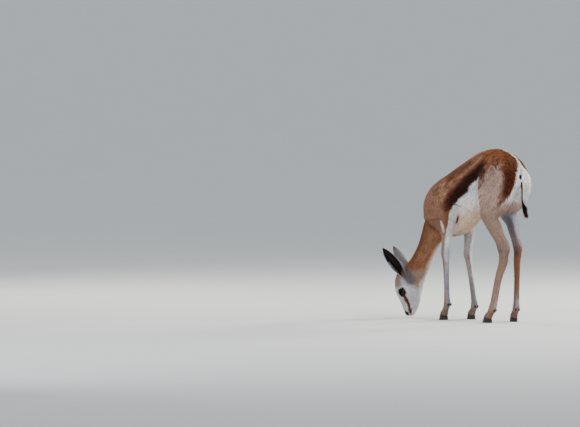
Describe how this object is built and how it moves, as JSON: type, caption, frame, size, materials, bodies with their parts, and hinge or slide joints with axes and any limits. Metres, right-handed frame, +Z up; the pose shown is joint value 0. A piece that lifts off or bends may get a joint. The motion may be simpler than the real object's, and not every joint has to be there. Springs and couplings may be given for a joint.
{
  "type": "young springbok",
  "caption": "Life-size still model of a young springbok grazing: head down to the ground, back arched, all feet level, tail hanging",
  "frame": {"origin": "on the ground, under the middle of the animal's box", "axes": "the animal faces -Y, its left side is +X, and +Z is up"},
  "size_m": [0.2188, 0.627, 0.5861],
  "materials": {
    "coat": "short soft fur, russet, dark brown, tan and white",
    "eye": "wet and glossy",
    "tail_hair": "black hair",
    "hoof": "dull horn"
  },
  "bodies": {
    "root": {"torso": "coat", "neck": "coat", "head": "coat", "ear_left": "coat", "ear_right": "coat", "eye_left": "eye", "eye_right": "eye", "tail": "tail_hair", "fore_left": "coat", "fore_right": "coat", "hind_left": "coat", "hind_right": "coat", "hoof_fore_left_a": "hoof", "hoof_fore_left_b": "hoof", "hoof_fore_right_a": "hoof", "hoof_fore_right_b": "hoof", "hoof_hind_left_a": "hoof", "hoof_hind_left_b": "hoof", "hoof_hind_right_a": "hoof", "hoof_hind_right_b": "hoof", "dewclaw_fore_left_a": "hoof", "dewclaw_fore_left_b": "hoof", "dewclaw_fore_right_a": "hoof", "dewclaw_fore_right_b": "hoof", "dewclaw_hind_left_a": "hoof", "dewclaw_hind_left_b": "hoof", "dewclaw_hind_right_a": "hoof", "dewclaw_hind_right_b": "hoof"}
  },
  "joints": []
}
